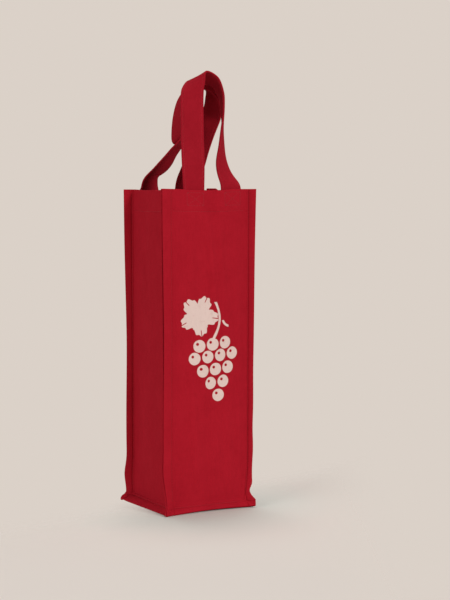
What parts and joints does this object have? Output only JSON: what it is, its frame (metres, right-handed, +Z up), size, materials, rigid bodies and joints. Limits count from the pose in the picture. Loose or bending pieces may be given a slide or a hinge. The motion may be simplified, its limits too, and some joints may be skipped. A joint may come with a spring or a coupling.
{
  "type": "bottle carrier",
  "caption": "Tall square cloth bag that carries a wine bottle, with pinched and topstitched edges, a hemmed open top and flat strap handles.",
  "frame": {"origin": "middle of the base, on the floor", "axes": "+X right along the front panel as seen from the front, +Y to the back, +Z up"},
  "size_m": [0.1116, 0.1116, 0.4818],
  "materials": {
    "canvas": "matte woven cotton",
    "strap": "matte woven cotton, folded and sewn flat",
    "thread": "spun sewing thread"
  },
  "bodies": {
    "bag": {"back_base_stitching": "thread", "back_handle_left_end": "strap", "back_handle_right_end": "strap", "back_hem_stitching": "thread", "back_left_box_stitch": "thread", "back_left_edge_stitching": "thread", "back_panel": "canvas", "back_right_box_stitch": "thread", "back_right_edge_stitching": "thread", "base_closing_seams": "thread", "base_panel": "canvas", "corner_closing_seams": "thread", "front_base_stitching": "thread", "front_handle_left_end": "strap", "front_handle_right_end": "strap", "front_hem_stitching": "thread", "front_left_box_stitch": "thread", "front_left_edge_stitching": "thread", "front_panel": "canvas", "front_right_box_stitch": "thread", "front_right_edge_stitching": "thread", "left_base_stitching": "thread", "left_gusset": "canvas", "left_hem_stitching": "thread", "right_base_stitching": "thread", "right_gusset": "canvas", "right_hem_stitching": "thread"},
    "front_handle": {"front_handle_loop": "strap"},
    "back_handle": {"back_handle_loop": "strap"}
  },
  "joints": [
    {"name": "front_handle_fold", "type": "hinge", "parent": "bag", "child": "front_handle", "pos_m": [0.007, -0.046, 0.35], "axis": [1, 0, 0], "range_deg": [0, 175]},
    {"name": "back_handle_fold", "type": "hinge", "parent": "bag", "child": "back_handle", "pos_m": [-0.005, 0.046, 0.35], "axis": [-1, 0, 0], "range_deg": [0, 175]}
  ]
}
